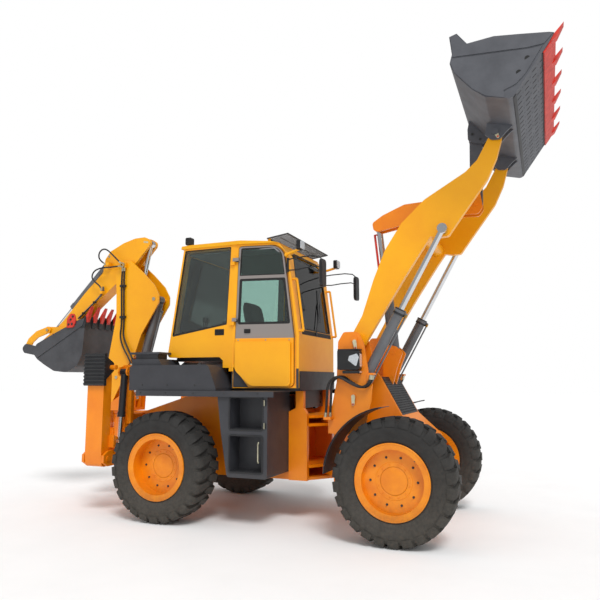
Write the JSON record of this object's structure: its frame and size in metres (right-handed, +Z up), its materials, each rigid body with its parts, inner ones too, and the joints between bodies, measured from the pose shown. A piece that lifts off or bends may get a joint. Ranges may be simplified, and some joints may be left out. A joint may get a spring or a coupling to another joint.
{
  "type": "backhoe loader",
  "caption": "Articulated backhoe loader with a raised front bucket on a Z-bar linkage, a glazed cab and a folded rear digging arm with two stabilisers.",
  "frame": {"origin": "on the ground, under the middle of the machine's overall length and width", "axes": "+X forward, towards the loader bucket; +Y to the machine's left; +Z up"},
  "size_m": [7.176, 2.36, 4.7395],
  "materials": {
    "yellow": "gloss",
    "orange": "gloss",
    "charcoal": "satin",
    "cylinder_grey": "satin",
    "chrome_rod": "polished",
    "red": "gloss",
    "tyre": "matte",
    "glass": "clear",
    "cast": "matte",
    "black_plastic": "matte",
    "hose": "matte",
    "trim": "matte"
  },
  "bodies": {
    "chassis": {"rear_frame": "orange", "engine_block": "cast", "rear_axle": "orange", "step_boxes": "charcoal", "side_boxes": "charcoal", "cab_floor": "charcoal", "cab_shell": "yellow", "cab_roof": "yellow", "cab_glass": "glass", "seat_and_controls": "trim", "mirrors_lamps_and_guard": "black_plastic"},
    "right_door": {"door_right": "yellow", "door_glass_right": "glass"},
    "left_door": {"door_left": "yellow", "door_glass_left": "glass"},
    "front_part": {"front_frame": "orange", "front_axle": "orange", "front_fenders": "charcoal", "headlights": "black_plastic", "frame_hoses": "hose"},
    "arms": {"loader_arms": "yellow"},
    "rocker_body": {"rocker": "yellow"},
    "link_body": {"bucket_link": "yellow"},
    "front_bucket": {"loader_bucket": "charcoal", "bucket_teeth": "red"},
    "lift_barrels": {"lift_barrel": "cylinder_grey"},
    "lift_rods": {"lift_rod": "chrome_rod"},
    "tilt_barrel_body": {"tilt_barrel": "cylinder_grey"},
    "tilt_rod_body": {"tilt_rod": "chrome_rod"},
    "swing": {"swing_post": "orange"},
    "boom_body": {"boom": "yellow", "boom_hoses": "hose"},
    "dipper_body": {"dipper": "yellow", "dipper_hoses": "hose"},
    "digging_bucket": {"dig_bucket": "charcoal", "dig_teeth": "charcoal"},
    "lever_body": {"tipping_lever": "yellow"},
    "tip_link_body": {"tipping_link": "yellow"},
    "boom_barrel_body": {"boom_barrel": "cylinder_grey"},
    "boom_rod_body": {"boom_rod": "chrome_rod"},
    "dipper_barrel_body": {"dipper_barrel": "cylinder_grey"},
    "dipper_rod_body": {"dipper_rod": "chrome_rod"},
    "bucket_barrel_body": {"bucket_barrel": "cylinder_grey"},
    "bucket_rod_body": {"bucket_rod": "chrome_rod"},
    "wheel_front_right": {"rim_front_right": "orange", "tyre_front_right": "tyre"},
    "wheel_front_left": {"rim_front_left": "orange", "tyre_front_left": "tyre"},
    "wheel_rear_right": {"rim_rear_right": "orange", "tyre_rear_right": "tyre"},
    "wheel_rear_left": {"rim_rear_left": "orange", "tyre_rear_left": "tyre"},
    "leg_right": {"stabiliser_leg_right": "orange"},
    "pad_right": {"stabiliser_pad_right": "charcoal"},
    "leg_barrel_right": {"stabiliser_barrel_right": "cylinder_grey"},
    "leg_rod_right": {"stabiliser_rod_right": "chrome_rod"},
    "leg_left": {"stabiliser_leg_left": "orange"},
    "pad_left": {"stabiliser_pad_left": "charcoal"},
    "leg_barrel_left": {"stabiliser_barrel_left": "cylinder_grey"},
    "leg_rod_left": {"stabiliser_rod_left": "chrome_rod"}
  },
  "joints": [
    {"name": "steering", "type": "hinge", "parent": "chassis", "child": "front_part", "pos_m": [0.99, 0, 0.775], "axis": [0, 0, 1], "range_deg": [-35, 35]},
    {"name": "roll_front_right", "type": "hinge", "parent": "front_part", "child": "wheel_front_right", "pos_m": [1.97, -0.938, 0.583], "axis": [0, 1, 0], "continuous": true},
    {"name": "roll_front_left", "type": "hinge", "parent": "front_part", "child": "wheel_front_left", "pos_m": [1.97, 0.938, 0.583], "axis": [0, 1, 0], "continuous": true},
    {"name": "roll_rear_right", "type": "hinge", "parent": "chassis", "child": "wheel_rear_right", "pos_m": [-0.59, -0.938, 0.583], "axis": [0, 1, 0], "continuous": true},
    {"name": "roll_rear_left", "type": "hinge", "parent": "chassis", "child": "wheel_rear_left", "pos_m": [-0.59, 0.938, 0.583], "axis": [0, 1, 0], "continuous": true},
    {"name": "open_door_right", "type": "hinge", "parent": "chassis", "child": "right_door", "pos_m": [0.105, -0.716, 2.18], "axis": [0, 0, -1], "range_deg": [0, 85]},
    {"name": "open_door_left", "type": "hinge", "parent": "chassis", "child": "left_door", "pos_m": [0.105, 0.716, 2.18], "axis": [0, 0, 1], "range_deg": [0, 85]},
    {"name": "lift", "type": "hinge", "parent": "front_part", "child": "arms", "pos_m": [1.498, 0, 1.92], "axis": [0, -1, 0], "range_deg": [-94, 0]},
    {"name": "curl", "type": "hinge", "parent": "arms", "child": "front_bucket", "pos_m": [2.96, 0, 3.977], "axis": [0, -1, 0], "range_deg": [-90, 38]},
    {"name": "rocker_turn", "type": "hinge", "parent": "arms", "child": "rocker_body", "pos_m": [2.17, 0, 3.24], "axis": [0, -1, 0], "range_deg": [-13, 29]},
    {"name": "link_turn", "type": "hinge", "parent": "rocker_body", "child": "link_body", "pos_m": [2.7, 0, 3.4], "axis": [0, -1, 0], "range_deg": [-68, 29]},
    {"name": "lift_cylinder_turn", "type": "hinge", "parent": "front_part", "child": "lift_barrels", "pos_m": [1.48, 0, 1.332], "axis": [0, -1, 0], "range_deg": [-80, 0]},
    {"name": "lift_rod_slide", "type": "slide", "parent": "lift_barrels", "child": "lift_rods", "axis": [0.4823, 0, 0.876], "range_m": [-0.79, 0]},
    {"name": "tilt_cylinder_turn", "type": "hinge", "parent": "front_part", "child": "tilt_barrel_body", "pos_m": [1.76, 0, 1.81], "axis": [0, -1, 0], "range_deg": [-99, 0]},
    {"name": "tilt_rod_slide", "type": "slide", "parent": "tilt_barrel_body", "child": "tilt_rod_body", "axis": [-0.1047, 0, 0.9945], "range_m": [-0.43, 0]},
    {"name": "swing_turn", "type": "hinge", "parent": "chassis", "child": "swing", "pos_m": [-1.95, 0, 0.8], "axis": [0, 0, 1], "range_deg": [-90, 90]},
    {"name": "boom_turn", "type": "hinge", "parent": "swing", "child": "boom_body", "pos_m": [-2.15, 0, 1], "axis": [0, -1, 0], "range_deg": [0, 115]},
    {"name": "dipper_turn", "type": "hinge", "parent": "boom_body", "child": "dipper_body", "pos_m": [-1.87, 0, 3.03], "axis": [0, -1, 0], "range_deg": [-112, 0]},
    {"name": "dig_bucket_turn", "type": "hinge", "parent": "dipper_body", "child": "digging_bucket", "pos_m": [-3.29, 0, 1.9], "axis": [0, -1, 0], "range_deg": [-110, 0]},
    {"name": "tipping_lever_turn", "type": "hinge", "parent": "dipper_body", "child": "lever_body", "pos_m": [-2.91, 0, 2.19], "axis": [0, -1, 0], "range_deg": [-104, 0]},
    {"name": "tipping_link_turn", "type": "hinge", "parent": "lever_body", "child": "tip_link_body", "pos_m": [-3.145, 0, 2.2], "axis": [0, -1, 0], "range_deg": [0, 110]},
    {"name": "boom_cylinder_turn", "type": "hinge", "parent": "boom_body", "child": "boom_barrel_body", "pos_m": [-1.385, 0, 2.555], "axis": [0, -1, 0], "range_deg": [0, 3]},
    {"name": "boom_rod_slide", "type": "slide", "parent": "boom_barrel_body", "child": "boom_rod_body", "axis": [-0.2663, 0, -0.9639], "range_m": [0, 0.86]},
    {"name": "dipper_cylinder_turn", "type": "hinge", "parent": "boom_body", "child": "dipper_barrel_body", "pos_m": [-1.94, 0, 1.54], "axis": [0, -1, 0], "range_deg": [-8, 0]},
    {"name": "dipper_rod_slide", "type": "slide", "parent": "dipper_barrel_body", "child": "dipper_rod_body", "axis": [0.214, 0, 0.9768], "range_m": [-0.73, 0]},
    {"name": "bucket_cylinder_turn", "type": "hinge", "parent": "dipper_body", "child": "bucket_barrel_body", "pos_m": [-2.17, 0, 3.185], "axis": [0, -1, 0], "range_deg": [-2, 0]},
    {"name": "bucket_rod_slide", "type": "slide", "parent": "bucket_barrel_body", "child": "bucket_rod_body", "axis": [-0.7035, 0, -0.7107], "range_m": [-0.37, 0]},
    {"name": "lower_leg_right", "type": "hinge", "parent": "chassis", "child": "leg_right", "pos_m": [-1.495, -0.96, 0.62], "axis": [1, 0, 0], "range_deg": [0, 118]},
    {"name": "turn_pad_right", "type": "hinge", "parent": "leg_right", "child": "pad_right", "pos_m": [-1.5, -0.95, 1.65], "axis": [1, 0, 0], "range_deg": [-60, 0]},
    {"name": "leg_cylinder_turn_right", "type": "hinge", "parent": "chassis", "child": "leg_barrel_right", "pos_m": [-1.28, -0.8, 1.6], "axis": [1, 0, 0], "range_deg": [-24, 0]},
    {"name": "leg_rod_slide_right", "type": "slide", "parent": "leg_barrel_right", "child": "leg_rod_right", "axis": [0, -0.0624, -0.9981], "range_m": [0, 0.24]},
    {"name": "lower_leg_left", "type": "hinge", "parent": "chassis", "child": "leg_left", "pos_m": [-1.495, 0.96, 0.62], "axis": [-1, 0, 0], "range_deg": [0, 118]},
    {"name": "turn_pad_left", "type": "hinge", "parent": "leg_left", "child": "pad_left", "pos_m": [-1.5, 0.95, 1.65], "axis": [-1, 0, 0], "range_deg": [-60, 0]},
    {"name": "leg_cylinder_turn_left", "type": "hinge", "parent": "chassis", "child": "leg_barrel_left", "pos_m": [-1.28, 0.8, 1.6], "axis": [-1, 0, 0], "range_deg": [-24, 0]},
    {"name": "leg_rod_slide_left", "type": "slide", "parent": "leg_barrel_left", "child": "leg_rod_left", "axis": [0, 0.0624, -0.9981], "range_m": [0, 0.24]}
  ],
  "couplings": [
    {"joint": "rocker_turn", "follows": "curl", "ratio": -0.31},
    {"joint": "link_turn", "follows": "curl", "ratio": 0.74},
    {"joint": "lift_cylinder_turn", "follows": "lift", "ratio": 0.84},
    {"joint": "lift_rod_slide", "follows": "lift", "m_per_rad": 0.47},
    {"joint": "tilt_cylinder_turn", "follows": "lift", "ratio": 1.05},
    {"joint": "tilt_rod_slide", "follows": "lift", "m_per_rad": 0.25},
    {"joint": "tipping_lever_turn", "follows": "dig_bucket_turn", "ratio": 0.93},
    {"joint": "tipping_link_turn", "follows": "dig_bucket_turn", "ratio": -0.97},
    {"joint": "boom_cylinder_turn", "follows": "boom_turn", "ratio": 0.025},
    {"joint": "boom_rod_slide", "follows": "boom_turn", "m_per_rad": 0.425},
    {"joint": "dipper_cylinder_turn", "follows": "dipper_turn", "ratio": 0.06},
    {"joint": "dipper_rod_slide", "follows": "dipper_turn", "m_per_rad": 0.37},
    {"joint": "bucket_cylinder_turn", "follows": "dig_bucket_turn", "ratio": 0.01},
    {"joint": "bucket_rod_slide", "follows": "dig_bucket_turn", "m_per_rad": 0.187},
    {"joint": "leg_cylinder_turn_right", "follows": "lower_leg_right", "ratio": -0.17},
    {"joint": "leg_rod_slide_right", "follows": "lower_leg_right", "m_per_rad": 0.09},
    {"joint": "leg_cylinder_turn_left", "follows": "lower_leg_left", "ratio": -0.17},
    {"joint": "leg_rod_slide_left", "follows": "lower_leg_left", "m_per_rad": 0.09}
  ]
}
